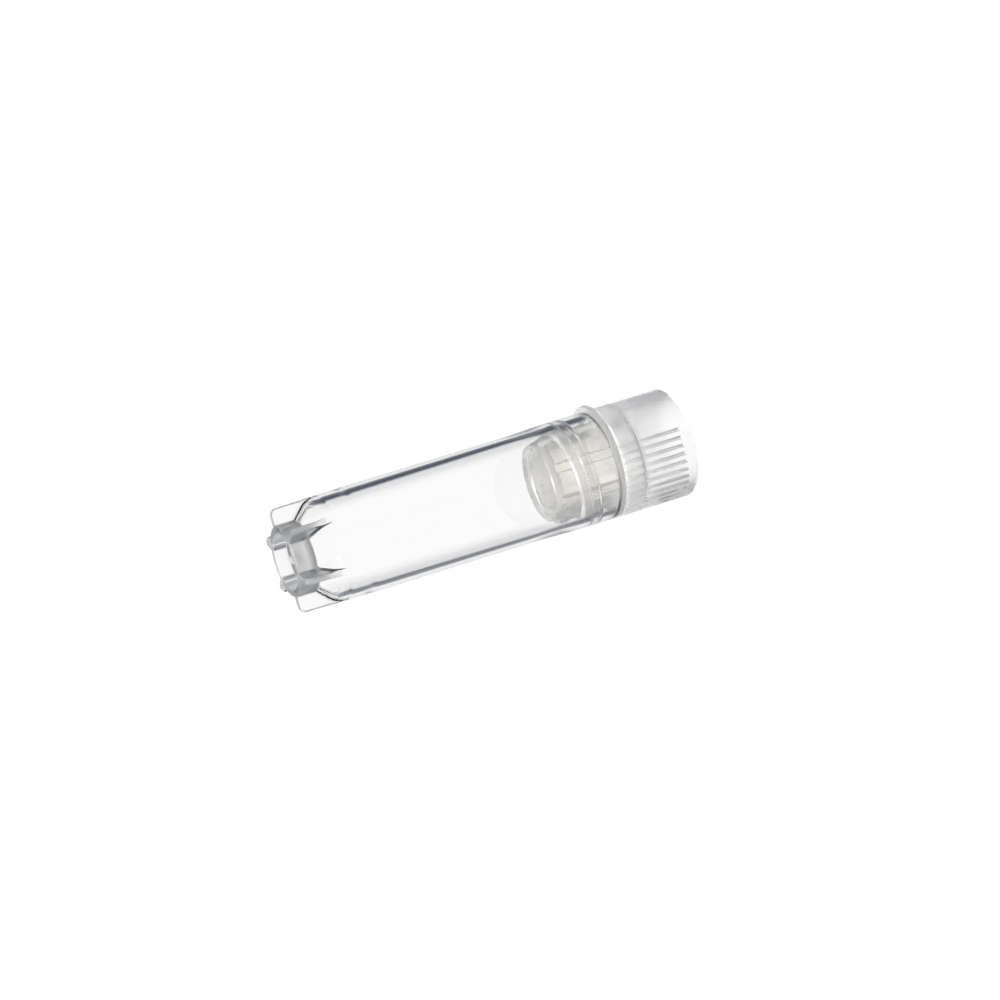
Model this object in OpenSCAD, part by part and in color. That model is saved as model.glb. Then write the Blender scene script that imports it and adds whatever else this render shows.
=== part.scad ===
// Self-standing screw-cap cryovial with an internal thread and a star foot.
// Three moulded pieces: the tube, the cap with its threaded plug, and the
// silicone washer that the cap's shoulder squeezes onto the tube's mouth.
// Millimetres. The tube stands on its foot at z = 0, on the +Z axis.

/* [Tube] */
// Height of the tube, from the foot to its mouth
tube_h = 38.4; // [32:0.1:60]
// Outside diameter of the body
body_d = 12.2; // [10:0.05:16]
// Thickness of the body's wall, at the mouth end of the bore
wall_t = 0.7; // [0.5:0.05:1.2]
// How far the ring around the mouth stands out from the body
mouth_proud = 0.15; // [0.05:0.01:0.4]
// Length of the thicker ring around the mouth
mouth_ring_h = 6.2; // [4:0.1:9]
// How much narrower the bore is where it meets the bottom cone
bore_draft = 0.4; // [0:0.05:0.8]
// Thickness of the floor of the tube
floor_t = 0.9; // [0.6:0.05:1.5]
// Radius on the edges of the mouth
mouth_r = 0.2; // [0.1:0.05:0.3]
// Height of the faint mould step around the body
mould_step_z = 8.1; // [6.5:0.1:14]
// Depth of the faint mould step
mould_step = 0.04; // [0.01:0.01:0.1]

/* [Star foot] */
// Outside diameter of the collar under the tube
collar_d = 8.05; // [7:0.05:9]
// Diameter of the recess inside the collar
collar_bore_d = 6.6; // [5.5:0.05:7.2]
// Depth of the recess inside the collar
collar_recess = 1.6; // [1:0.1:2.6]
// Height of the collar before the bottom cone starts
collar_h = 2.35; // [2:0.05:4]
// Radius that blends the bottom cone into the body
cone_blend_r = 3; // [0.5:0.1:5]
// Number of fins around the collar
fin_count = 6; // [3:1:8]
// How far the fins' outer edges stand in from the body's surface
fin_inset = 0.15; // [0.05:0.01:0.5]
// Thickness of one fin
fin_t = 0.85; // [0.5:0.05:1.2]
// Radius of the lower outer corner of a fin
fin_corner_r = 0.65; // [0.3:0.05:1.2]
// Length of the gate stub under the floor
gate_h = 0.9; // [0.3:0.1:1]
// Diameter of the gate stub at its root
gate_d = 1.6; // [0.8:0.1:2]

/* [Thread] */
// Pitch of the single-start right-hand thread
pitch = 2.4; // [2.2:0.05:3]
// Height of each ridge above its own wall
ridge_h = 0.36; // [0.3:0.02:0.5]
// Width of a ridge where it leaves the wall
ridge_base = 1.4; // [1:0.05:1.5]
// Width of a ridge at its crest
ridge_crest = 0.75; // [0.4:0.05:0.9]
// Turns of the ridge inside the tube
tube_turns = 1; // [0.75:0.05:1.25]
// Turns of the ridge on the plug
plug_turns = 1.2; // [0.75:0.05:1.3]
// Axial gap between the flanks that carry the load when the cap is tight
thread_play = 0.12; // [0.08:0.01:0.2]
// Depth of the tube's ridge below the mouth, at its middle turn
ridge_depth = 3.14; // [2.8:0.05:3.8]

/* [Cap] */
// Height of the cap's head above the washer
head_h = 9.2; // [7:0.1:14]
// How far the cap's head stands out from the ring around the mouth
head_proud = 0.02; // [0:0.01:0.5]
// Radius of the head's top edge
head_r = 1.2; // [0.5:0.1:1.5]
// Chamfer around the head's lower edge
head_chamfer = 0.4; // [0.1:0.05:0.5]
// Thickness of the head's wall around its recess
head_wall = 1.37; // [0.8:0.05:2]
// Depth of the recess in the top of the head
recess_depth = 6.3; // [3:0.1:7]
// Number of grooves that would fill the whole circle
knurl_divisions = 42; // [24:2:60]
// Grooves in each of the two grip zones
knurl_grooves = 12; // [6:1:12]
// Width of one groove
groove_w = 0.46; // [0.2:0.02:0.5]
// Depth of one groove
groove_depth = 0.24; // [0.1:0.02:0.35]
// Plain band between the grooves' upper ends and the head's top
groove_stop = 1.45; // [1.2:0.05:3]

/* [Plug] */
// Radial gap between the plug's wall and the crest of the tube's ridge
plug_clearance = 0.1; // [0.08:0.01:0.3]
// Length of the plug below the lower flank of its ridge
plug_tip = 0.59; // [0.5:0.01:3]
// Length of the lead-in cone at the plug's lower end
plug_lead = 1.7; // [0.8:0.1:2.5]
// How far the lead-in cone narrows the plug, on each side
plug_lead_in = 0.49; // [0.2:0.01:0.8]
// Width of the flat rim between the lead-in cone and the dish
plug_rim_w = 0.25; // [0.1:0.05:0.6]
// Depth of the dish in the plug's lower end
dish_depth = 0.5; // [0.2:0.05:0.8]
// Thickness of the plug's wall around its drive socket
plug_wall = 1.34; // [1:0.02:2]
// Thickness of the plug's closed end, above its dish
plug_floor_t = 0.9; // [0.6:0.05:1.5]
// Number of ribs in the drive socket
rib_count = 6; // [3:1:8]
// Width of one rib
rib_w = 0.95; // [0.5:0.05:1.2]
// Height of one rib
rib_h = 0.5; // [0.3:0.05:0.7]

/* [Washer] */
// Thickness of the washer as the cap squeezes it
washer_t = 0.6; // [0.4:0.05:1.2]
// How far the squeezed washer bulges past the ring around the mouth
washer_bulge = 0.35; // [0:0.01:0.8]
// Gap between the washer's hole and the plug, where the two are closest
washer_clearance = 0.07; // [0.05:0.01:0.3]
// How far the squeezed washer has crept to one side of the axis
washer_creep = 0.34; // [0:0.02:0.36]

/* [Hidden] */
$fn = 96;

// Tube, from the axis outwards and from the foot upwards
body_r = body_d / 2;
foot_body_r = body_r - mould_step;
mouth_or = body_r + mouth_proud;
bore_r = body_r - wall_t;
bore_low_r = bore_r - bore_draft / 2;
collar_r = collar_d / 2;
collar_bore_r = collar_bore_d / 2;
cone_top_z = collar_h + foot_body_r - collar_r;
floor_z = collar_recess + floor_t;
cavity_cone_z = cone_top_z + 0.3;
cavity_floor_r = collar_bore_r + 0.3;
shoulder_h = 1.3;
shoulder_z = tube_h - mouth_ring_h;
fin_r = body_r - fin_inset;

// Threads: both ridges wind on the same helix, half a pitch apart
sink = 0.25;
eps = 0.01;
ridge_segment = 7.5;
ridge_runout = 35;
tube_ridge_r = bore_r - ridge_h;
tube_ridge_start = 75;
tube_ridge_z = tube_h - ridge_depth - pitch * 0.75;
plug_r = tube_ridge_r - plug_clearance;
plug_ridge_r = plug_r + ridge_h;
plug_ridge_start = -25;
// Half widths of the two facing flanks, at the radius where both ridges are
flank_slope = (ridge_base - ridge_crest) / 2 / ridge_h;
flank_mid_r = (tube_ridge_r + plug_ridge_r) / 2;
flank_sum = ridge_crest + flank_slope * (flank_mid_r - tube_ridge_r + plug_ridge_r - flank_mid_r);
plug_ridge_z = tube_ridge_z - flank_sum - thread_play;

// Cap and plug
washer_z = tube_h;
head_z = washer_z + washer_t;
head_top = head_z + head_h;
head_or = mouth_or + head_proud;
recess_r = head_or - head_wall;
recess_z = head_top - recess_depth;
plug_z = plug_ridge_z + pitch * plug_ridge_start / 360 - ridge_base / 2 - plug_tip;
dish_z = plug_z + dish_depth;
socket_z = dish_z + plug_floor_t;
socket_r = plug_r - plug_wall;
plug_rim_r = plug_r - plug_lead_in;
dish_r = plug_rim_r - plug_rim_w;
knurl_step = 360 / knurl_divisions;
grip_angles = [126.3, 306.3];
rib_start = 15;

// Washer, squeezed between the mouth and the head
washer_or = mouth_or + washer_bulge;
washer_bore_r = plug_r + washer_creep + washer_clearance;

TUBE_COLOUR = [0.90, 0.94, 0.96, 0.45];
CAP_COLOUR = [0.86, 0.86, 0.84];
WASHER_COLOUR = [0.80, 0.83, 0.85];

function lerp(a, b, t) = a + (b - a) * t;
function clamp01(t) = max(0, min(1, t));
function smooth(t) = t * t * (3 - 2 * t);

// How far the crest stands out, from 0 at a ridge's ends to 1 along its run
function rise(a, span) =
    smooth(clamp01(min(a, span - a) / ridge_runout));

// Four corners of a ridge's section: inner radius and half width, then outer
function section(ri, hi, ro, ho) = [[ri, -hi], [ro, -ho], [ro, ho], [ri, hi]];

// A ridge on a wall of radius wall_r. side is -1 inside a bore, +1 on a plug.
// z0 is the height of its middle line where the helix crosses the +X axis.
module thread_ridge(wall_r, side, turns, start, z0) {
    span = turns * 360;
    steps = ceil(span / ridge_segment);
    root_r = wall_r - side * sink;
    root_half = ridge_base / 2 + sink * flank_slope;
    function crest_r(a) =
        wall_r + side * lerp(-sink / 2, ridge_h, rise(a, span));
    function corner(i, j) =
        let (
            a = span * i / steps,
            crest = [crest_r(a), ridge_crest / 2],
            root = [root_r, root_half],
            near = side < 0 ? crest : root,
            far = side < 0 ? root : crest,
            p = section(near[0], near[1], far[0], far[1])[j],
            turn = start + a
        )
        [p[0] * cos(turn), p[0] * sin(turn), z0 + pitch * turn / 360 + p[1]];
    points = [for (i = [0 : steps]) for (j = [0 : 3]) corner(i, j)];
    sides = [
        for (i = [0 : steps - 1]) for (j = [0 : 3])
            let (k = (j + 1) % 4, a = i * 4, b = a + 4)
            each [[a + j, a + k, b + k], [a + j, b + k, b + j]]
    ];
    last = steps * 4;
    ends = [
        [3, 2, 1], [3, 1, 0],
        [last, last + 1, last + 2], [last, last + 2, last + 3]
    ];
    polyhedron(points = points, faces = concat(sides, ends), convexity = 6);
}

// Outline of a turned piece with a rounded upper outer corner
module rounded_top(r, z0, z1, corner) {
    translate([0, z0]) square([r, z1 - z0 - corner]);
    translate([0, z0]) square([r - corner, z1 - z0]);
    translate([r - corner, z1 - corner]) circle(r = corner);
}

module tube_outline() {
    blend_z = cone_top_z + cone_blend_r * tan(22.5);
    polygon([
        [0, 0], [collar_r, 0], [collar_r, collar_h],
        for (a = [45 : -5 : 0])
            [foot_body_r - cone_blend_r * (1 - cos(a)), blend_z - cone_blend_r * sin(a)],
        [foot_body_r, mould_step_z],
        [body_r, mould_step_z + mould_step], [body_r, shoulder_z - shoulder_h],
        [mouth_or, shoulder_z], [mouth_or, tube_h - mouth_r],
        [0, tube_h - mouth_r]
    ]);
    rounded_top(mouth_or, tube_h - 1, tube_h, mouth_r);
}

module cavity_outline() {
    polygon([
        [0, floor_z], [cavity_floor_r, floor_z],
        [bore_low_r, cavity_cone_z], [bore_r, shoulder_z],
        [bore_r, tube_h - mouth_r], [bore_r + mouth_r, tube_h],
        [bore_r + mouth_r, tube_h + 1], [0, tube_h + 1]
    ]);
}

// One fin of the foot, from inside the collar's wall to its outer edge
module fin() {
    inner = collar_r - 0.35;
    rotate([90, 0, 0])
        linear_extrude(height = fin_t, center = true) {
            polygon([
                [inner, 0], [fin_r - fin_corner_r, 0],
                [fin_r - fin_corner_r, fin_corner_r], [fin_r, fin_corner_r],
                [fin_r, cone_top_z + 0.2], [inner, collar_h - 0.35]
            ]);
            translate([fin_r - fin_corner_r, fin_corner_r])
                circle(r = fin_corner_r);
        }
}

module tube() {
    color(TUBE_COLOUR) {
        difference() {
            union() {
                rotate_extrude() tube_outline();
                for (i = [0 : fin_count - 1])
                    rotate([0, 0, 360 / fin_count * i]) fin();
            }
            rotate_extrude() cavity_outline();
            translate([0, 0, -1])
                cylinder(h = collar_recess + 1, r = collar_bore_r);
        }
        translate([0, 0, collar_recess - gate_h])
            cylinder(h = gate_h + eps, r1 = gate_d * 0.35, r2 = gate_d / 2);
        thread_ridge(bore_r, -1, tube_turns, tube_ridge_start, tube_ridge_z);
    }
}

module cap_outline() {
    difference() {
        rounded_top(head_or, head_z, head_top, head_r);
        polygon([
            [head_or - head_chamfer, head_z], [head_or + 1, head_z - 1],
            [head_or + 1, head_z + head_chamfer + 1],
            [head_or, head_z + head_chamfer]
        ]);
    }
    polygon([
        [0, plug_z], [plug_rim_r, plug_z], [plug_r, plug_z + plug_lead],
        [plug_r, head_z + 1], [0, head_z + 1]
    ]);
}

module cap_hollows() {
    polygon([
        [0, plug_z - 1], [dish_r, plug_z - 1],
        [dish_r, plug_z], [dish_r - dish_depth, dish_z], [0, dish_z]
    ]);
    translate([0, socket_z]) square([socket_r, head_top - socket_z]);
    translate([0, recess_z]) square([recess_r, recess_depth + 1]);
}

// One V groove of the grip, cut from below the head up to groove_stop
module groove() {
    reach = 0.2;
    wide = groove_w / 2 * (groove_depth + reach) / groove_depth;
    translate([0, 0, head_z - 1])
        linear_extrude(height = head_h + 1 - groove_stop)
            polygon([
                [head_or - groove_depth, 0],
                [head_or + reach, -wide], [head_or + reach, wide]
            ]);
}

module grip_grooves() {
    for (middle = grip_angles)
        for (i = [0 : knurl_grooves - 1])
            rotate([0, 0, middle + (i - (knurl_grooves - 1) / 2) * knurl_step])
                groove();
}

// Ribs that stand in from the socket's wall, from its floor to the recess
module socket_ribs() {
    for (i = [0 : rib_count - 1])
        rotate([0, 0, rib_start + 360 / rib_count * i])
            translate([socket_r - rib_h, -rib_w / 2, socket_z - eps])
                cube([rib_h + 0.3, rib_w, recess_z - socket_z - 0.6]);
}

module cap() {
    color(CAP_COLOUR) {
        difference() {
            rotate_extrude() cap_outline();
            rotate_extrude() cap_hollows();
            grip_grooves();
        }
        socket_ribs();
        translate([0, 0, dish_z - 0.15])
            cylinder(h = 0.15 + eps, r1 = 0.3, r2 = 0.45);
        thread_ridge(plug_r, 1, plug_turns, plug_ridge_start, plug_ridge_z);
    }
}

module washer() {
    edge = washer_t / 2;
    color(WASHER_COLOUR)
        translate([-washer_creep, 0, washer_z])
            rotate_extrude()
                union() {
                    translate([washer_bore_r, 0])
                        square([washer_or - washer_bore_r - edge, washer_t]);
                    translate([washer_or - edge, edge]) circle(r = edge);
                }
}

tube();
cap();
washer();
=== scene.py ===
"""Looks of the cryovial: smooth meshes of the tube, the cap and the washer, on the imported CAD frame."""

import math

import bpy
import numpy as np
from mathutils import Matrix, Vector


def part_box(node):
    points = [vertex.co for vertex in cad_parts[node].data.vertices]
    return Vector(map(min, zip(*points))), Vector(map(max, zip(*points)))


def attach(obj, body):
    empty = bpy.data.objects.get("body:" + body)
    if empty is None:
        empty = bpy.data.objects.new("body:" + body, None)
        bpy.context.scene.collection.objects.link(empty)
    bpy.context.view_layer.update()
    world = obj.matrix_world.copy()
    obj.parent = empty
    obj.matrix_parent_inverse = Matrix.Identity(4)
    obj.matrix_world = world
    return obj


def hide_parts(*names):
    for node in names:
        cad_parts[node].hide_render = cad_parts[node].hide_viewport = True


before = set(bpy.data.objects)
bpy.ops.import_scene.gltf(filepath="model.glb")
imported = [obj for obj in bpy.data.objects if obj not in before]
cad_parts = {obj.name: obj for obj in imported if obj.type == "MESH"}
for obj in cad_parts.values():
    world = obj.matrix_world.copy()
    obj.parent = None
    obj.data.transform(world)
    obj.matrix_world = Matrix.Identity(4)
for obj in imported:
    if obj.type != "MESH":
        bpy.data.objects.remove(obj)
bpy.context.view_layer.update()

MM = 0.001
FULL = 360.0

# ---------------------------------------------------------------- sizes, in mm and degrees, as in part.scad
tube_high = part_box("tube")[1] / MM
cap_low, cap_high = (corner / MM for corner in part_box("cap"))
washer_low, washer_high = (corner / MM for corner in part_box("washer"))

# Tube
TUBE_H = tube_high.z
BODY_R = 6.1
WALL_T = 0.7
FLOOR_T = 0.9
BORE_DRAFT = 0.4
MOUTH_PROUD = 0.15
MOUTH_RING_H = 6.2
LIP_ROUND = 0.2
MOULD_STEP = 0.04
MOULD_STEP_Z = 8.1
FOOT_R = BODY_R - MOULD_STEP
MOUTH_R = BODY_R + MOUTH_PROUD
BORE_R = BODY_R - WALL_T
BORE_LOW_R = BORE_R - BORE_DRAFT / 2
SHOULDER_Z = TUBE_H - MOUTH_RING_H

# Star foot
COLLAR_R = 4.025
COLLAR_H = 2.35
COLLAR_BORE_R = 3.3
COLLAR_RECESS = 1.6
GATE_R = 0.8
GATE_H = 0.9
FOOT_ROUND = 0.08
BLEND_R = 3.0
FIN_COUNT = 6
FIN_INSET = 0.15
FIN_HALF = 0.425
FIN_CORNER = 0.65
FIN_TIP_ROUND = 0.34
FIN_ROOT_ROUND = 0.18
FIN_LEAN = 0.13
FIN_GONE = 0.04
FIN_R = BODY_R - FIN_INSET
FLOOR_Z = COLLAR_RECESS + FLOOR_T
CONE_TOP = COLLAR_H + FOOT_R - COLLAR_R
BLEND_TOP = CONE_TOP + BLEND_R * math.tan(math.radians(22.5))
CONE_END = BLEND_TOP - BLEND_R * math.sin(math.radians(45))
CAVITY_CONE_Z = CONE_TOP + 0.3
CAVITY_FLOOR_R = COLLAR_BORE_R + 0.3

# Thread: RIDGE_BASE and RIDGE_CREST are half widths, and RUNOUT is the angle over which an end runs out
PITCH = 2.4
RIDGE_H = 0.36
RIDGE_BASE = 0.7
RIDGE_CREST = 0.375
RIDGE_DEPTH = 3.14
RUNOUT = 35.0
THREAD_PLAY = 0.12

# Plug of the cap, with its dished end, its gate mark and the socket inside it
PLUG_CLEARANCE = 0.1
PLUG_LEAD = 1.7
PLUG_LEAD_IN = 0.49
PLUG_RIM_W = 0.25
PLUG_WALL = 1.34
PLUG_FLOOR_T = 0.9
DISH_DEPTH = 0.5
CAP_GATE_R = 0.45
CAP_GATE_H = 0.15
PLUG_R = BORE_R - RIDGE_H - PLUG_CLEARANCE
PLUG_Z = cap_low.z
PLUG_RIM_R = PLUG_R - PLUG_LEAD_IN
DISH_R = PLUG_RIM_R - PLUG_RIM_W
DISH_Z = PLUG_Z + DISH_DEPTH
SOCKET_R = PLUG_R - PLUG_WALL
SOCKET_Z = DISH_Z + PLUG_FLOOR_T

# Head of the cap
HEAD_PROUD = 0.02
HEAD_WALL = 1.37
HEAD_ROUND = 1.2
HEAD_CHAMFER = 0.4
RECESS_DEPTH = 6.3
HEAD_R = MOUTH_R + HEAD_PROUD
HEAD_Z = washer_high.z
HEAD_TOP = cap_high.z
RECESS_R = HEAD_R - HEAD_WALL
RECESS_Z = HEAD_TOP - RECESS_DEPTH

# Grip and socket ribs: widths are angles, and each _STOP is how far short of an edge they end
GRIPS = (126.3, 306.3)
GROOVE_COUNT = 12
GROOVE_STEP = FULL / 42
GROOVE_HALF = 2.1
GROOVE_DEPTH = 0.24
GROOVE_STOP = 1.45
RIB_COUNT = 6
RIB_START = 15.0
RIB_HALF = 8.8
RIB_FLANK = 1.5
RIB_H = 0.5
RIB_STOP = 0.6
GROOVE_TOP = HEAD_TOP - GROOVE_STOP
RIB_TOP = RECESS_Z - RIB_STOP

# Each ridge: its first angle, how far round it goes, and the height of its middle line at angle 0.
# The plug's ridge lies under the tube's, so that their flanks are THREAD_PLAY apart
TUBE_RIDGE = (75.0, FULL, TUBE_H - RIDGE_DEPTH - PITCH * 0.75)
FLANK_SLOPE = (RIDGE_BASE - RIDGE_CREST) / RIDGE_H
RIDGES_APART = 2 * RIDGE_CREST + FLANK_SLOPE * (PLUG_R - BORE_R + 2 * RIDGE_H) + THREAD_PLAY
PLUG_RIDGE = (-25.0, FULL * 1.2, TUBE_RIDGE[2] - RIDGES_APART)

# How dull a place is, from 0 for polished to 1: the materials turn it into roughness and colour, and on the
# tube that colour is painted shade over the fins and the collar.
# A ridge takes on its dullness over its first RIDGE_FADE of height
LIP_DULL = 0.25
TUBE_RIDGE_DULL = 0.25
FIN_DULL = 0.5
COLLAR_DULL = 1.0
SOCKET_DULL = 0.2
PLUG_RIDGE_DULL = 0.6
HEAD_RIM_DULL = 0.5
HEAD_FOOT_DULL = 0.8
RECESS_DULL = 0.5
RIDGE_FADE = 0.12


# ---------------------------------------------------------------- mesh helpers
def smooth(t):
    """A soft step from 0, where t is 0 or less, to 1, where t is 1 or more."""
    t = np.clip(t, 0.0, 1.0)
    return t * t * (3 - 2 * t)


def arc_corner(a, b, c, radius, steps):
    """Points that round the corner b between a and c. The arc takes just under half of each side at most."""
    a, b, c = (np.array(p, float) for p in (a, b, c))
    most = 0.49
    u, v = a - b, c - b
    lu, lv = np.linalg.norm(u), np.linalg.norm(v)
    u, v = u / lu, v / lv
    half = math.acos(np.clip(u @ v, -1, 1)) / 2
    reach = min(radius / math.tan(half), most * lu, most * lv)
    radius = reach * math.tan(half)
    middle = (u + v) / np.linalg.norm(u + v)
    centre = b + middle * radius / math.sin(half)
    first, last = b + u * reach - centre, b + v * reach - centre
    turn = math.acos(np.clip(first @ last / radius**2, -1, 1))
    out = []
    for t in np.linspace(0, 1, steps + 1):
        across = first * math.sin((1 - t) * turn) + last * math.sin(t * turn)
        out.append(centre + across / math.sin(turn))
    return out


def profile(corners):
    """A polyline of (r, z) points from corners (r, z, fillet radius, fillet steps)."""
    out = []
    for i, (r, z, radius, steps) in enumerate(corners):
        if radius and 0 < i < len(corners) - 1:
            out += arc_corner(corners[i - 1][:2], (r, z), corners[i + 1][:2], radius, steps)
        else:
            out.append(np.array((r, z), float))
    return out


def split_at_top(points):
    """A polyline up to the last of its highest points, and the rest from that point on."""
    top = max(z for r, z in points)
    last = max(i for i, (r, z) in enumerate(points) if z > top - 1e-6)
    return points[:last + 1], points[last:]


def densify(points, longest):
    """The same polyline with its long segments cut into pieces no longer than longest(z)."""
    out = [points[0]]
    for p, q in zip(points, points[1:]):
        n = max(1, math.ceil(np.linalg.norm(q - p) / longest((p[1] + q[1]) / 2)))
        out += [p + (q - p) * (i / n) for i in range(1, n + 1)]
    return out


def cut_at(points, heights, near):
    """The same polyline with points added at these heights, on segments with near(r) true at both ends."""
    out = []
    for p, q in zip(points, points[1:]):
        out.append(p)
        if near(p[0]) and near(q[0]):
            crossed = [z for z in heights if (p[1] - z) * (q[1] - z) < 0]
            out += [np.array([p[0] + (q[0] - p[0]) * (z - p[1]) / (q[1] - p[1]), z]) for z in crossed]
    return out + [points[-1]]


def circle_ring(angles, r, z):
    """A ring of points at height z, at these angles in degrees; r is one radius or one for each angle."""
    a = np.radians(angles)
    r = np.broadcast_to(r, a.shape)
    return np.stack([r * np.cos(a), r * np.sin(a), np.full(len(a), float(z))], 1)


def pole(z):
    """A ring of one point, on the axis."""
    return np.array([(0, 0, z)])


def angles_of(section):
    return np.degrees(np.arctan2(section[:, 1], section[:, 0]))


def faces_between(a, b, size_a, size_b):
    """The faces between a ring that starts at vertex a and one that starts at b. Either may be a pole."""
    faces = []
    n = max(size_a, size_b)
    for k in range(n):
        m = (k + 1) % n
        if size_a == 1:
            faces.append((a, b + m, b + k))
        elif size_b == 1:
            faces.append((a + k, a + m, b))
        else:
            faces.append((a + k, a + m, b + m, b + k))
    return faces


def area_normals(points, faces):
    """Vertex normals weighted by area, which keep large faces true beside their small fillets."""
    normals = np.zeros_like(points)
    for face in faces:
        p = points[list(face)]
        across = (p[2] - p[0], p[-1] - p[1]) if len(face) == 4 else (p[1] - p[0], p[2] - p[0])
        normals[list(face)] += np.cross(*across)
    return normals / np.maximum(np.linalg.norm(normals, axis=1), 1e-30)[:, None]


def skin(name, rings, closed=False, satin=None):
    """A smooth mesh over rings of points in mm; closed joins the last ring to the first.
    satin holds, for each ring, how dull its points are, from 0 to 1."""
    sizes = [len(ring) for ring in rings]
    starts = np.cumsum([0] + sizes).tolist()
    pairs = list(zip(range(len(rings)), range(1, len(rings))))
    if closed:
        pairs.append((len(rings) - 1, 0))
    faces = []
    for i, j in pairs:
        faces += faces_between(starts[i], starts[j], sizes[i], sizes[j])
    points = np.concatenate(rings) * MM
    mesh = bpy.data.meshes.new(name)
    mesh.from_pydata(points.tolist(), [], faces)
    mesh.polygons.foreach_set("use_smooth", [True] * len(faces))
    mesh.normals_split_custom_set_from_vertices(area_normals(points, faces).tolist())
    if satin is not None:
        dull = np.concatenate([np.broadcast_to(value, size) for value, size in zip(satin, sizes)])
        mesh.attributes.new("satin", "FLOAT", "POINT").data.foreach_set("value", dull.astype(np.float32))
    mesh.update()
    piece = bpy.data.objects.new(name, mesh)
    bpy.context.scene.collection.objects.link(piece)
    return piece


# ---------------------------------------------------------------- the thread
def ridge_push(angles, z, ridge):
    """How far a thread's ridge stands out from its wall at these angles and this height."""
    start, span, middle_z = ridge
    out = np.zeros(len(angles))
    for lap in range(-1, 3):
        along = angles % FULL + FULL * lap - start
        inside = (along >= 0) & (along <= span)
        middle = middle_z + PITCH * (along + start) / FULL
        flank = (RIDGE_BASE - np.abs(z - middle)) / (RIDGE_BASE - RIDGE_CREST)
        height = RIDGE_H * smooth(flank) * smooth(np.minimum(along, span - along) / RUNOUT)
        out = np.maximum(out, np.where(inside, height, 0))
    return out


def ridge_zone(ridge, margin):
    """The heights between which a thread's ridge lies, to 0.01 mm, with a margin."""
    start, span, middle_z = ridge
    low = middle_z + PITCH * start / FULL - RIDGE_BASE - margin
    high = middle_z + PITCH * (start + span) / FULL + RIDGE_BASE + margin
    return round(low, 2), round(high, 2)


# ---------------------------------------------------------------- the tube
def foot_radius(z):
    """Radius of the collar, the cone and the blend into the body."""
    if z <= COLLAR_H:
        return COLLAR_R
    if z <= CONE_END:
        return COLLAR_R + z - COLLAR_H
    if z >= BLEND_TOP:
        return FOOT_R
    s = (BLEND_TOP - z) / BLEND_R
    return FOOT_R - BLEND_R * (1 - math.sqrt(1 - s * s))


def fin_tip(z):
    """Radius of a fin's outer edge, which leans out a little and has a rounded lower corner."""
    below = max(0.0, FIN_CORNER - z)
    foot_of_edge = FIN_R - 0.02
    lean = FIN_LEAN * z / BLEND_TOP
    return foot_of_edge + lean - FIN_CORNER + math.sqrt(FIN_CORNER**2 - below**2)


def on_arc(x, y, radius, angles):
    """Points at these angles, in radians, on a circle around (x, y)."""
    return [(x + radius * math.cos(a), y + radius * math.sin(a)) for a in angles]


def half_fin(r, tip, half, corner, root):
    """Half of one sixth of the foot's section, from the fin's middle line on, at y >= 0.
    half is half the fin's thickness, and corner and root are the radii of its fillets."""
    tip_angle = math.asin((half - corner) / tip)
    corner_x = tip * math.cos(tip_angle) - corner
    root_x = math.sqrt((r + root) ** 2 - (half + root) ** 2)
    root_angle = math.atan2(half + root, root_x)
    out = on_arc(0, 0, tip, np.linspace(0, tip_angle, 3))
    out += on_arc(corner_x, half - corner, corner, np.linspace(0, math.pi / 2, 6)[1:])
    out += [(x, half) for x in np.linspace(corner_x, root_x, 6)[1:-1]]
    out += on_arc(root_x, half + root, root, np.linspace(math.pi * 1.5, math.pi + root_angle, 6))
    out += on_arc(0, 0, r, np.linspace(root_angle, math.pi / FIN_COUNT, 13)[1:])
    return np.array(out)


# Where the fins are gone, the points stay at the angles that they have around short fins
SHORT_FIN = half_fin(FIN_R - 0.3, FIN_R, FIN_HALF, 0.12, 0.12)


def foot_section(r, tip, inset=0.0):
    """The foot's whole section: the collar or cone of radius r with its six fins."""
    half = np.array(on_arc(0, 0, r, np.radians(angles_of(SHORT_FIN))))
    stand = tip - r
    if stand > FIN_GONE:
        corner = min(FIN_TIP_ROUND, 0.4 * stand)
        root = min(FIN_ROOT_ROUND, 0.4 * stand)
        share = smooth((stand - FIN_GONE) / 0.06)
        fin = half_fin(r - inset, tip - inset, FIN_HALF - inset, corner, root)
        half = fin * share + half * (1 - share)
    mirrored = half[1:-1][::-1] * (1, -1)
    sector = np.concatenate([mirrored, half])
    out = []
    for i in range(FIN_COUNT):
        a = math.tau * i / FIN_COUNT
        c, s = math.cos(a), math.sin(a)
        out.append(sector @ np.array([[c, s], [-s, c]]))
    return np.concatenate(out)


def foot_satin(section, z):
    """Hazy fins, and a hazier collar between them, both darkened by the tube's material with painted shade. A
    fin takes on its haze over a short way from its root, which is longer at its upper end."""
    stand = np.hypot(section[:, 0], section[:, 1]) - foot_radius(z)
    fading = 0.1 + 0.25 * smooth((z - 3.0) / 1.6)
    fins = FIN_DULL * smooth(stand / fading)
    under_cone = smooth((COLLAR_H + 0.1 - z) / 0.2)
    beside_floor = 0.5 + 0.5 * smooth((z - COLLAR_RECESS) / 0.2)
    collar = COLLAR_DULL * under_cone * beside_floor * smooth(1 - stand / 0.3)
    return np.maximum(fins, collar)


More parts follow.
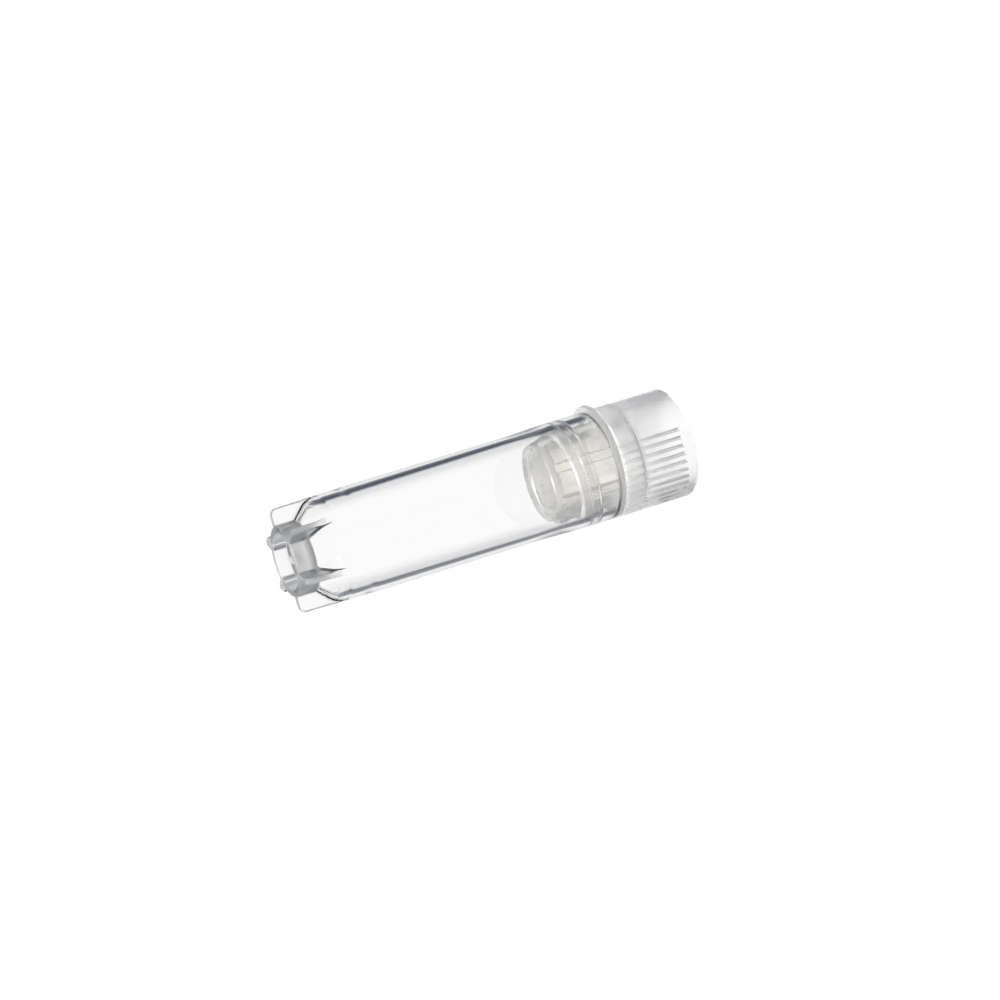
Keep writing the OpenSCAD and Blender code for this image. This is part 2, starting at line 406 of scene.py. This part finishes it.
def recess_rings(angles):
    """The gate stub under the floor and the recess around it, from the axis out to the collar's edge."""
    points = profile([
        (0.0, COLLAR_RECESS - GATE_H, 0, 0), (0.5, COLLAR_RECESS - GATE_H + 0.04, 0.12, 3),
        (0.66, COLLAR_RECESS - 0.3, 0.2, 2), (GATE_R, COLLAR_RECESS, 0.12, 3),
        (COLLAR_BORE_R, COLLAR_RECESS, 0.1, 4), (COLLAR_BORE_R + 0.02, 0.0, 0.1, 4),
        (COLLAR_R - FOOT_ROUND, 0.0, 0, 0),
    ])
    points = densify(points[:-1], lambda z: 0.5)
    ragged = 1 + 0.05 * np.sin(np.radians(angles * 3)) + 0.04 * np.sin(np.radians(angles * 7 + 40))
    slope = 0.05 * np.sin(np.radians(angles * 2 + 70))
    stub_r = 0.7
    shown = [(pole(points[0][1]), COLLAR_DULL)]
    for r, z in points[1:]:
        ring = circle_ring(angles, r * ragged if r < stub_r else r, z)
        if r < stub_r:
            ring[:, 2] += slope * (stub_r - r) / stub_r
        shown.append((ring, FIN_DULL if r > COLLAR_BORE_R - 0.1 else COLLAR_DULL))
    return shown


def foot_rings():
    """The outside of the foot, from its flat end up to the body."""
    # The rounded lower edge and the fins' corners
    levels = [FOOT_ROUND * (1 - math.cos(math.radians(a))) for a in (0, 30, 60, 90)]
    insets = [FOOT_ROUND * (1 - math.sin(math.radians(a))) for a in (0, 30, 60)]
    levels += [FIN_CORNER * (1 - math.cos(math.radians(a))) for a in range(36, 91, 9)]
    # The collar and its upper edge, the cone and the blend
    levels += list(np.linspace(0.9, 2.1, 4))
    levels += [COLLAR_H + step for step in (-0.1, -0.03, 0.0, 0.05, 0.15)]
    levels += list(COLLAR_H + np.linspace(0.3, 1.1, 6))
    levels += [BLEND_TOP - BLEND_R * math.sin(math.radians(a)) for a in np.linspace(45, 0, 24)]
    insets += [0.0] * (len(levels) - len(insets))
    shown = []
    for z, inset in zip(levels, insets):
        section = foot_section(foot_radius(z), fin_tip(z), inset)
        ring = np.column_stack([section, np.full(len(section), z)])
        shown.append((ring, foot_satin(section, z)))
    return shown


def body_rings(angles):
    """The body's outside, the lip and the bore, down to the floor."""
    ridge_low, ridge_high = ridge_zone(TUBE_RIDGE, 0.06)
    lip_z = TUBE_H - 0.25
    swell_z, swell_h = SHOULDER_Z - 4, 5.5
    swell = [(BODY_R + MOUTH_PROUD * smooth(t), swell_z + swell_h * t, 0, 0) for t in np.linspace(0, 1, 21)]
    outer, bore = split_at_top(profile([
        (FOOT_R, BLEND_TOP, 0, 0), (FOOT_R, MOULD_STEP_Z - 0.25, 4.0, 6),
        (BODY_R, MOULD_STEP_Z + 0.4, 4.0, 6), *swell, (MOUTH_R, TUBE_H, LIP_ROUND, 7),
        (BORE_R + LIP_ROUND, TUBE_H, 0.06, 3), (BORE_R, TUBE_H - LIP_ROUND, 0.1, 3),
        (BORE_R, ridge_high, 0, 0), (BORE_R, ridge_low, 0, 0),
        (BORE_R, SHOULDER_Z - 1, 3.0, 4), (BORE_LOW_R, CAVITY_CONE_Z, 2.6, 16),
        (CAVITY_FLOOR_R, FLOOR_Z, 0.8, 8), (0.3, FLOOR_Z, 0, 0),
    ]))

    def bore_step(z):
        return 0.047 if ridge_low < z < ridge_high else 1.6

    shown = []
    for r, z in densify(outer, lambda z: 2.2)[1:]:
        shown.append((circle_ring(angles, r, z), LIP_DULL if z > lip_z else 0.0))
    for r, z in densify(bore, bore_step)[1:]:
        push = ridge_push(angles, z, TUBE_RIDGE) if ridge_low <= z <= ridge_high else 0.0
        dull = LIP_DULL if z > lip_z else TUBE_RIDGE_DULL * smooth(push / RIDGE_FADE)
        shown.append((circle_ring(angles, r - push, z), dull))
    return shown + [(pole(FLOOR_Z), 0.0)]


def tube_piece():
    flat_end = foot_section(COLLAR_R, fin_tip(0.0), FOOT_ROUND)
    foot = foot_rings()
    top_of_foot = foot[-1][0]
    shown = recess_rings(angles_of(flat_end)) + foot + body_rings(angles_of(top_of_foot))
    return skin("vial_tube", [ring for ring, dull in shown], satin=[dull for ring, dull in shown])


# ---------------------------------------------------------------- the cap
def cap_columns():
    """Angles of the cap's columns: dense across each groove and each rib, and even elsewhere."""
    across_groove = (0, 0.35, 0.9, 1.5, GROOVE_HALF, 2.5, 3.4)
    across_rib_flank = (7.2, 7.7, 8.3, RIB_HALF)
    closest, widest = 0.18, 2.3
    found = []
    for middle in GRIPS:
        for i in range(GROOVE_COUNT):
            groove = middle + (i - (GROOVE_COUNT - 1) / 2) * GROOVE_STEP
            found += [groove + side * d for d in across_groove for side in (-1, 1)]
    for i in range(RIB_COUNT):
        rib = RIB_START + FULL / RIB_COUNT * i
        found += [rib + side * d for d in across_rib_flank for side in (-1, 1)]
    found = sorted(a % FULL for a in found)
    kept = [found[0]]
    for a in found[1:]:
        if a - kept[-1] > closest:
            kept.append(a)
    out = []
    for a, b in zip(kept, kept[1:] + [kept[0] + FULL]):
        n = max(1, math.ceil((b - a) / widest))
        out += [a + (b - a) * k / n for k in range(n)]
    return np.array(out)


def groove_cut(angles, z):
    """Depth of the grip's V grooves at these angles and this height."""
    out = np.zeros(len(angles))
    last = (GROOVE_COUNT - 1) / 2
    for middle in GRIPS:
        off = (angles - middle + FULL / 2) % FULL - FULL / 2
        index = np.clip(np.round(off / GROOVE_STEP - 0.5) + 0.5, -last, last)
        v = np.clip(1 - np.abs(off - index * GROOVE_STEP) / GROOVE_HALF, 0, 1)
        # The slope eases off near the bottom of the V
        out = np.maximum(out, GROOVE_DEPTH * np.minimum(v * 1.02, 0.93 + 0.07 * v))
    return out * smooth((GROOVE_TOP - z) / 0.16 + 0.5)


def rib_push(angles, z):
    """How far the socket's ribs stand in from its wall."""
    step = FULL / RIB_COUNT
    off = np.abs((angles - RIB_START + step / 2) % step - step / 2)
    return RIB_H * np.clip((RIB_HALF - off) / RIB_FLANK, 0, 1) * smooth((RIB_TOP - z) / 0.16 + 0.5)


def cap_outside_ring(angles, r, z):
    """One ring of the plug or of the head's outside, and how dull it is."""
    push = 0.0
    if PLUG_RIM_R < r < PLUG_R + 0.02 and z < HEAD_Z - 0.05:
        push = ridge_push(angles, z, PLUG_RIDGE)
    ridge_dull = PLUG_RIDGE_DULL * smooth(push / RIDGE_FADE)
    if z > HEAD_TOP - 0.01:
        dull = HEAD_RIM_DULL * smooth((RECESS_R + 0.3 - r) / 0.2)
    elif z < PLUG_Z + PLUG_LEAD + 0.1:
        dull = np.maximum(SOCKET_DULL, ridge_dull)
    elif r > PLUG_R + 0.1:
        frosted_up_to = HEAD_Z + 2.5
        dull = HEAD_FOOT_DULL * smooth(frosted_up_to - z)
    else:
        dull = ridge_dull
    if r > HEAD_R - 1.3:
        r = np.minimum(r, HEAD_R - groove_cut(angles, z))
    return circle_ring(angles, r + push, z), dull


def cap_inside_ring(angles, r, z):
    """One ring of the recess in the head or of the socket under it, and how dull it is."""
    push = rib_push(angles, z) if SOCKET_R - 0.4 < r < SOCKET_R + 0.01 else 0
    if r < SOCKET_R + 0.01:
        r = np.minimum(r, SOCKET_R - push)
    dull = SOCKET_DULL
    if z > RECESS_Z - 0.1:
        dull = RECESS_DULL + (1 - RECESS_DULL) * smooth(RECESS_Z + 1.6 - z)
    return circle_ring(angles, r, z), dull


def cap_piece():
    angles = cap_columns()
    ridge_low, ridge_high = ridge_zone(PLUG_RIDGE, 0.05)
    outer, inner = split_at_top(profile([
        (0.0, DISH_Z - CAP_GATE_H, 0, 0), (CAP_GATE_R - CAP_GATE_H, DISH_Z - CAP_GATE_H, 0.06, 3),
        (CAP_GATE_R, DISH_Z, 0.06, 2), (DISH_R - DISH_DEPTH, DISH_Z, 0.3, 4), (DISH_R, PLUG_Z, 0.08, 4),
        (PLUG_RIM_R, PLUG_Z, 0.1, 4), (PLUG_R, PLUG_Z + PLUG_LEAD, 0.6, 4), (PLUG_R, ridge_high, 0, 0),
        (PLUG_R, HEAD_Z, 0.08, 3), (HEAD_R - HEAD_CHAMFER, HEAD_Z, 0.08, 3),
        (HEAD_R, HEAD_Z + HEAD_CHAMFER, 0.1, 3), (HEAD_R, HEAD_TOP, HEAD_ROUND, 14),
        (RECESS_R, HEAD_TOP, 0.12, 4), (RECESS_R, RECESS_Z, 0.7, 8), (SOCKET_R, RECESS_Z, 0.3, 4),
        (SOCKET_R, SOCKET_Z, 0.3, 4), (0.3, SOCKET_Z, 0, 0),
    ]))

    def outer_step(z):
        if ridge_low < z < ridge_high:
            return 0.045
        return 0.07 if abs(z - GROOVE_TOP) < 0.2 else 1.3

    def inner_step(z):
        return 0.4 if RECESS_Z < z < RECESS_Z + 2 else 1.5

    groove_ends = [GROOVE_TOP + d for d in (-0.2, -0.1, -0.05, 0.0, 0.05, 0.1)]
    rib_ends = [RIB_TOP + d for d in (0.1, 0.05, 0.0, -0.05, -0.1)]
    outer = cut_at(densify(outer, outer_step), groove_ends, lambda r: r > HEAD_R - 0.27)
    inner = cut_at(densify(inner, inner_step), rib_ends, lambda r: r < SOCKET_R + 0.05)
    shown = [(pole(outer[0][1]), 0.0)]
    shown += [cap_outside_ring(angles, r, z) for r, z in outer[1:]]
    shown += [cap_inside_ring(angles, r, z) for r, z in inner[1:]]
    shown.append((pole(SOCKET_Z), SOCKET_DULL))
    return skin("vial_cap", [ring for ring, dull in shown], satin=[dull for ring, dull in shown])


# ---------------------------------------------------------------- the washer
def washer_piece():
    """A flat ring that has crept to one side. It stays a hair short of the faces that it lies between."""
    short, clearance = 0.008, 0.07
    centre = (washer_low.x + washer_high.x) / 2
    outer = (washer_high.x - washer_low.x) / 2
    hole = PLUG_R + abs(centre) + clearance
    low, high = washer_low.z + short, washer_high.z - short
    section = profile([
        ((hole + outer) / 2, low, 0, 0), (outer, low, 0.27, 8), (outer, high, 0.27, 8),
        (hole, high, 0.07, 3), (hole, low, 0.07, 3), ((hole + outer) / 2, low, 0, 0),
    ])[:-1]
    angles = np.linspace(0, FULL, 180, endpoint=False)
    rings = [circle_ring(angles, r, z) + (centre, 0, 0) for r, z in section]
    return skin("vial_washer", rings, closed=True)


# ---------------------------------------------------------------- node helpers
def new_material(name):
    material = bpy.data.materials.new(name)
    material.use_nodes = True
    tree = material.node_tree
    tree.nodes.clear()
    out = tree.nodes.new("ShaderNodeOutputMaterial")
    return material, tree, out


def node(tree, kind, inputs=None, **settings):
    """A new node. Each input is another node's output, a number, a vector or an (r, g, b) colour."""
    made = tree.nodes.new(kind)
    for key, value in settings.items():
        setattr(made, key, value)
    for key, value in (inputs or {}).items():
        socket = made.inputs[key]
        if isinstance(value, bpy.types.NodeSocket):
            tree.links.new(value, socket)
        else:
            socket.default_value = (*value, 1) if socket.type == "RGBA" else value
    return made


def maths(tree, operation, a, b=0.0):
    return node(tree, "ShaderNodeMath", {0: a, 1: b}, operation=operation).outputs[0]


def product(tree, first, *others):
    for other in others:
        first = maths(tree, "MULTIPLY", first, other)
    return first


def vector_maths(tree, operation, *inputs):
    return node(tree, "ShaderNodeVectorMath", dict(enumerate(inputs)), operation=operation)


def axes(tree, vector):
    return node(tree, "ShaderNodeSeparateXYZ", {"Vector": vector}).outputs


def spread(tree, value, low, high, to_low=0.0, to_high=1.0):
    """Goes evenly from to_low to to_high while the value goes from low to high."""
    inputs = {"Value": value, "From Min": low, "From Max": high, "To Min": to_low, "To Max": to_high}
    return node(tree, "ShaderNodeMapRange", inputs).outputs[0]


def fade(tree, value, low, high):
    """Goes softly from 0 to 1 while the value goes from low to high, which may lie below low."""
    inputs = {"Value": value, "From Min": low, "From Max": high}
    return node(tree, "ShaderNodeMapRange", inputs, interpolation_type="SMOOTHSTEP").outputs[0]


def blend(tree, share, a, b, kind="MIX"):
    """Colour a, which turns into colour b as the share goes from 0 to 1."""
    inputs = {"Factor": share, "A": a, "B": b}
    return node(tree, "ShaderNodeMix", inputs, data_type="RGBA", blend_type=kind).outputs["Result"]


def ramp(tree, value, *stops):
    """A colour that runs through these stops as the value does."""
    made = node(tree, "ShaderNodeValToRGB", {"Fac": value})
    elements = made.color_ramp.elements
    while len(elements) < len(stops):
        elements.new(1.0)
    for element, (place, colour) in zip(elements, stops):
        element.position = place
        element.color = (*colour, 1)
    return made.outputs["Color"]


def grey(value):
    return (value, value, value)


def noise(tree, scale, detail, roughness=0.5):
    where = node(tree, "ShaderNodeTexCoord").outputs["Object"]
    inputs = {"Vector": where, "Scale": scale, "Detail": detail, "Roughness": roughness}
    return node(tree, "ShaderNodeTexNoise", inputs).outputs["Fac"]


def bump(tree, height, strength, distance):
    inputs = {"Strength": strength, "Distance": distance, "Height": height}
    return node(tree, "ShaderNodeBump", inputs).outputs[0]


def height_on_axis(tree):
    return axes(tree, node(tree, "ShaderNodeTexCoord").outputs["Object"])["Z"]


def slant_of(tree):
    """0 where the surface faces the ray, and 1 at its edge."""
    return node(tree, "ShaderNodeLayerWeight", {"Blend": 0.5}).outputs["Facing"]


def satin_of(tree):
    return node(tree, "ShaderNodeAttribute", attribute_name="satin").outputs["Fac"]


def moulded(tree, out, colour, roughness, normal, ior, transmission, shadow):
    """The shader of a clear or milky material. Lamps and shadows see a plain pane in the shadow colour,
    so that light reaches what is behind it."""
    body = node(tree, "ShaderNodeBsdfPrincipled", {
        "Base Color": colour, "Roughness": roughness, "IOR": ior,
        "Transmission Weight": transmission, "Normal": normal,
    })
    pane = node(tree, "ShaderNodeBsdfTransparent", {"Color": shadow})
    in_shadow = node(tree, "ShaderNodeLightPath").outputs["Is Shadow Ray"]
    mix = node(tree, "ShaderNodeMixShader", {0: in_shadow, 1: body.outputs[0], 2: pane.outputs[0]})
    tree.links.new(mix.outputs[0], out.inputs["Surface"])


# ---------------------------------------------------------------- materials
def clear_plastic(name):
    """Clear polypropylene: polished walls with painted shade that greys them towards their edges, hazy fins
    darkened with painted shade, and a hazier collar with painted dark bands.
    """
    material, tree, out = new_material(name)
    satin, slant = satin_of(tree), slant_of(tree)
    polished = spread(tree, noise(tree, 2600.0, 3.0), 0.0, 1.0, 0.015, 0.05)
    # Painted shade: the clear wall turns bluish grey towards the edges that face away from the ray.
    clear = ramp(tree, slant, (0.45, grey(0.985)), (0.7, (0.93, 0.935, 0.945)),
                 (0.85, (0.74, 0.76, 0.79)), (1.0, (0.42, 0.44, 0.49)))
    # Painted shade: the fins darken to grey towards the edges that face away from the ray.
    fins = ramp(tree, slant, (0.1, grey(0.97)), (0.45, (0.51, 0.525, 0.535)), (1.0, (0.27, 0.28, 0.295)))
    # Painted shade up the collar, in mm: pale around the recess, dark where the tube's floor lies behind it,
    # and pale once more at the recess's flat ceiling
    # The dark colours are painted shade, not a colour of the thick plastic.
    pale, painted_dark, painted_dark_top = (0.72, 0.705, 0.675), (0.29, 0.29, 0.285), grey(0.28)
    ceiling, per_mm = COLLAR_RECESS, 0.33
    bands = ((0.0, pale), (ceiling - 0.206, pale), (ceiling - 0.115, painted_dark), (ceiling - 0.03, painted_dark),
             (ceiling - 0.018, pale), (ceiling + 0.018, pale), (ceiling + 0.03, painted_dark), (COLLAR_H, painted_dark_top))
    up_the_collar = product(tree, height_on_axis(tree), per_mm / MM)
    collar = ramp(tree, up_the_collar, *((z * per_mm, colour) for z, colour in bands))
    tone = blend(tree, spread(tree, satin, LIP_DULL + 0.01, FIN_DULL), clear, fins)
    tone = blend(tree, spread(tree, satin, FIN_DULL, COLLAR_DULL), tone, collar)
    moulded(tree, out, tone, roughness=spread(tree, satin, 0.0, 1.0, polished, 0.58),
            normal=bump(tree, noise(tree, 420.0, 2.0, 0.45), 0.008, 0.0002),
            ior=1.49, transmission=1.0, shadow=(0.9, 0.91, 0.92))
    return material


def milky_plastic(name):
    """Natural polypropylene: warmer where it is thick, in the plug, with painted shade that greys the plug
    and turns the head's sides a cool bluish grey towards their edges.
    """
    material, tree, out = new_material(name)
    satin, slant = satin_of(tree), slant_of(tree)
    cloud = noise(tree, 350.0, 4.0, 0.55)
    polished = spread(tree, cloud, 0.0, 1.0, 0.12, 0.18)
    # Painted shade: plug and head grey towards the edges that face away from the ray, the head's with a cool
    # blue.
    plug = ramp(tree, slant, (0.15, (0.98, 0.96, 0.925)), (0.5, (0.915, 0.905, 0.88)),
                (1.0, (0.75, 0.755, 0.75)))
    head = ramp(tree, slant, (0.25, grey(1)), (0.45, (0.98, 0.985, 0.99)), (1.0, (0.76, 0.79, 0.82)))
    tone = blend(tree, spread(tree, height_on_axis(tree), HEAD_Z * MM, RECESS_Z * MM), plug, head)
    # Frosted places are white
    tone = blend(tree, spread(tree, satin, 0.5, 1.0), tone, grey(1))
    faint = ramp(tree, cloud, (0.3, (0.985, 0.985, 0.98)), (0.7, grey(1)))
    tone = blend(tree, 1.0, tone, faint, "MULTIPLY")
    moulded(tree, out, tone, roughness=spread(tree, satin, 0.0, 1.0, polished, 0.65),
            normal=bump(tree, noise(tree, 3800.0, 4.0), 0.12, 0.00008),
            ior=1.49, transmission=0.97, shadow=(0.62, 0.62, 0.61))
    return material


def silicone(name):
    """Clear silicone rubber with a fine grain."""
    material, tree, out = new_material(name)
    cloud = noise(tree, 900.0, 3.0)
    moulded(tree, out, (0.97, 0.975, 0.975), roughness=spread(tree, cloud, 0.0, 1.0, 0.1, 0.22),
            normal=bump(tree, cloud, 0.1, 0.0001), ior=1.41, transmission=0.75, shadow=(0.8, 0.81, 0.82))
    return material


# ---------------------------------------------------------------- studio
def studio_floor():
    """A round pale floor that fades out far from the vial and can't be seen from below. Rays through the
    plastic see four soft grey sectors on it, along the axes, which draw the tube's edges from above."""
    mesh = bpy.data.meshes.new("studio_floor")
    n, radius = 96, 0.31
    ring = [(radius * math.cos(math.tau * k / n), radius * math.sin(math.tau * k / n), 0) for k in range(n)]
    mesh.from_pydata(ring, [], [tuple(range(n))])
    floor = bpy.data.objects.new("studio_floor", mesh)
    bpy.context.scene.collection.objects.link(floor)
    material, tree, out = new_material("studio_floor")
    where = node(tree, "ShaderNodeTexCoord").outputs["Object"]
    away = vector_maths(tree, "LENGTH", where).outputs["Value"]
    toward = vector_maths(tree, "NORMALIZE", where).outputs[0]
    squares = axes(tree, vector_maths(tree, "MULTIPLY", toward, toward).outputs[0])
    along_axis = maths(tree, "ABSOLUTE", maths(tree, "SUBTRACT", squares["X"], squares["Y"]))
    through = node(tree, "ShaderNodeLightPath").outputs["Is Transmission Ray"]
    near = product(tree, fade(tree, away, 0.018, 0.03), fade(tree, away, 0.075, 0.048))
    sectors = product(tree, fade(tree, along_axis, 0.74, 0.9), near, through)
    top = node(tree, "ShaderNodeBsdfDiffuse", {"Color": blend(tree, sectors, grey(0.94), (0.64, 0.65, 0.68))})
    nothing = node(tree, "ShaderNodeBsdfTransparent")
    from_below = node(tree, "ShaderNodeNewGeometry").outputs["Backfacing"]
    gone = maths(tree, "MAXIMUM", from_below, fade(tree, away, 0.09, 0.3))
    mix = node(tree, "ShaderNodeMixShader", {0: gone, 1: top.outputs[0], 2: nothing.outputs[0]})
    tree.links.new(mix.outputs[0], out.inputs["Surface"])
    mesh.materials.append(material)


def dark_walls(tree, across, forward, up):
    """How much of a ray meets the studio's two side walls, which are darker than its lit back, front
    and top. The wall towards +X is a little narrower and paler."""
    side = fade(tree, across, -0.2, 0.2)
    edge = maths(tree, "ADD", forward, maths(tree, "SUBTRACT", product(tree, side, 0.036), 0.013))
    ends = product(tree, fade(tree, edge, 0.897, 0.86), fade(tree, forward, 0.1, 0.3))
    paler = maths(tree, "SUBTRACT", 1.0, product(tree, side, 0.13))
    return product(tree, ends, paler, fade(tree, up, 0.07, 0.15), fade(tree, up, 0.65, 0.45))


def dark_corners(tree, across, forward, up):
    """A dark panel at each corner, from just above the horizon to a little below it. The panels draw the
    tube's edges in level views."""
    diagonal = maths(tree, "ABSOLUTE", product(tree, across, forward, 2.0))
    panel = product(tree, fade(tree, up, 0.1, 0.02), fade(tree, up, -0.17, -0.11))
    return product(tree, fade(tree, diagonal, 0.74, 0.9), panel)


def studio_world():
    """White to the camera, a soft light to the surfaces, and a studio with dark sides to rays that pass
    through the plastic or are mirrored by it."""
    world = bpy.data.worlds.new("studio")
    bpy.context.scene.world = world
    world.use_nodes = True
    tree = world.node_tree
    tree.nodes.clear()
    out = tree.nodes.new("ShaderNodeOutputWorld")
    path = node(tree, "ShaderNodeLightPath").outputs
    direction = node(tree, "ShaderNodeTexCoord").outputs["Generated"]
    level = vector_maths(tree, "MULTIPLY", direction, (1, 1, 0)).outputs[0]
    flat = axes(tree, vector_maths(tree, "NORMALIZE", level).outputs[0])
    up = axes(tree, direction)["Z"]
    walls = dark_walls(tree, flat["X"], flat["Y"], up)
    dark = maths(tree, "MAXIMUM", walls, dark_corners(tree, flat["X"], flat["Y"], up))
    navy = (0.035, 0.045, 0.075)
    passed = blend(tree, dark, grey(1), navy)
    mirrored = blend(tree, product(tree, dark, 0.5), (0.86, 0.87, 0.88), navy)
    # A ray through the plastic counts as glossy too
    only_glossy = maths(tree, "SUBTRACT", path["Is Glossy Ray"], path["Is Transmission Ray"])
    colour = blend(tree, only_glossy, passed, mirrored)
    colour = blend(tree, path["Is Camera Ray"], colour, grey(1))
    shown = node(tree, "ShaderNodeBackground", {"Color": colour, "Strength": 1.0})
    light = node(tree, "ShaderNodeBackground", {"Color": grey(1), "Strength": 0.5})
    sees_it = maths(tree, "MAXIMUM", path["Is Camera Ray"], path["Is Glossy Ray"])
    sees_it = maths(tree, "MAXIMUM", sees_it, path["Is Transmission Ray"])
    mix = node(tree, "ShaderNodeMixShader", {0: sees_it, 1: light.outputs[0], 2: shown.outputs[0]})
    tree.links.new(mix.outputs[0], out.inputs["Surface"])


def lamp(name, place, target, size, power):
    data = bpy.data.lights.new(name, "AREA")
    data.size = size
    data.energy = power
    made = bpy.data.objects.new(name, data)
    made.location = place
    made.rotation_mode = "QUATERNION"
    made.rotation_quaternion = (Vector(target) - Vector(place)).to_track_quat("-Z", "Y")
    bpy.context.scene.collection.objects.link(made)


def photo_camera():
    """A camera below the vial that looks up at it, turned so that the cap lies to the picture's right."""
    tilt, roll = math.radians(19.2), math.radians(17.2)
    distance, height = 0.512, 0.0237
    to_right, to_up = 0.00228, 0.0002
    back = Vector((0, -math.cos(tilt), -math.sin(tilt)))
    along = Vector((0, -math.sin(tilt), math.cos(tilt)))
    across = Vector((1, 0, 0))
    right = along * math.cos(roll) + across * math.sin(roll)
    up = along * math.sin(roll) - across * math.cos(roll)
    data = bpy.data.cameras.new("photo_camera")
    data.sensor_width = 36
    data.lens = 164.97
    data.clip_start, data.clip_end = 0.01, 20
    camera = bpy.data.objects.new("photo_camera", data)
    place = Vector((0, 0, height)) + back * distance + right * to_right + up * to_up
    turn = Matrix((right, up, back)).transposed()
    camera.matrix_world = Matrix.Translation(place) @ turn.to_4x4()
    bpy.context.scene.collection.objects.link(camera)
    bpy.context.scene.camera = camera


bpy.context.scene.view_settings.view_transform = "Standard"
photo_camera()
studio_world()
studio_floor()
middle = (0, 0, 0.024)
lamp("top", (0.0, 0.05, 0.6), middle, 0.5, 1.3)
lamp("key", (-0.35, -0.45, 0.5), middle, 0.35, 0.6)
lamp("rim", (-0.25, 0.35, 0.6), middle, 0.35, 0.9)

for build, body, finish, paint in (
    (tube_piece, "tube", "tube", clear_plastic),
    (cap_piece, "cap", "cap", milky_plastic),
    (washer_piece, "washer", "washer", silicone),
):
    piece = build()
    piece.data.materials.append(paint(piece.name))
    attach(piece, body)
    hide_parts(finish)
